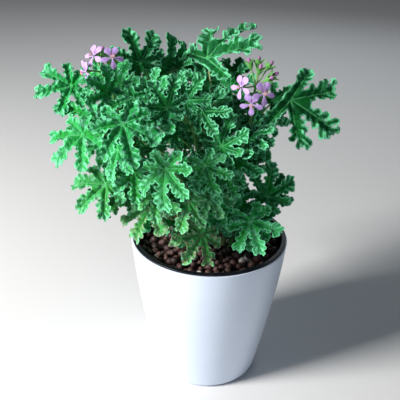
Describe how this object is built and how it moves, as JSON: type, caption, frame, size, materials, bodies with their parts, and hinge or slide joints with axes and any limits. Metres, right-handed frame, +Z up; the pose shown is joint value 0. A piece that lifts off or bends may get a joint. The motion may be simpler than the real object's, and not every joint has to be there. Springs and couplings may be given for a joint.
{
  "type": "potted citronella geranium",
  "caption": "Bushy scented geranium with deeply cut leaves and small lilac flower heads, in a black liner inside a tapered white cover pot.",
  "frame": {"origin": "middle of the pot's foot, on the surface it stands on", "axes": "+Z up along the pot's axis, the side shown in the picture faces -Y"},
  "size_m": [0.2397, 0.2017, 0.3189],
  "materials": {
    "pot_white": "smooth satin gloss white",
    "liner_black": "satin black",
    "soil": "dark soil topped with round matt clay granules",
    "foliage": "velvety, finely haired green",
    "petals": "thin soft lilac petals"
  },
  "bodies": {
    "root": {"corolla_left_1": "petals", "corolla_left_2": "petals", "corolla_left_3": "petals", "corolla_right_1": "petals", "corolla_right_2": "petals", "corolla_right_3": "petals", "growing_medium": "soil", "inner_pot": "liner_black", "outer_pot": "pot_white", "stem_back": "foliage", "stem_back_left": "foliage", "stem_back_right": "foliage", "stem_centre": "foliage", "stem_front": "foliage", "stem_front_left": "foliage", "stem_left_high": "foliage", "stem_left_low": "foliage", "stem_left_mid": "foliage", "stem_right_high": "foliage", "stem_right_low": "foliage", "stem_right_mid": "foliage", "stem_top_left": "foliage", "stem_top_mid": "foliage", "stem_top_right": "foliage"}
  },
  "joints": []
}
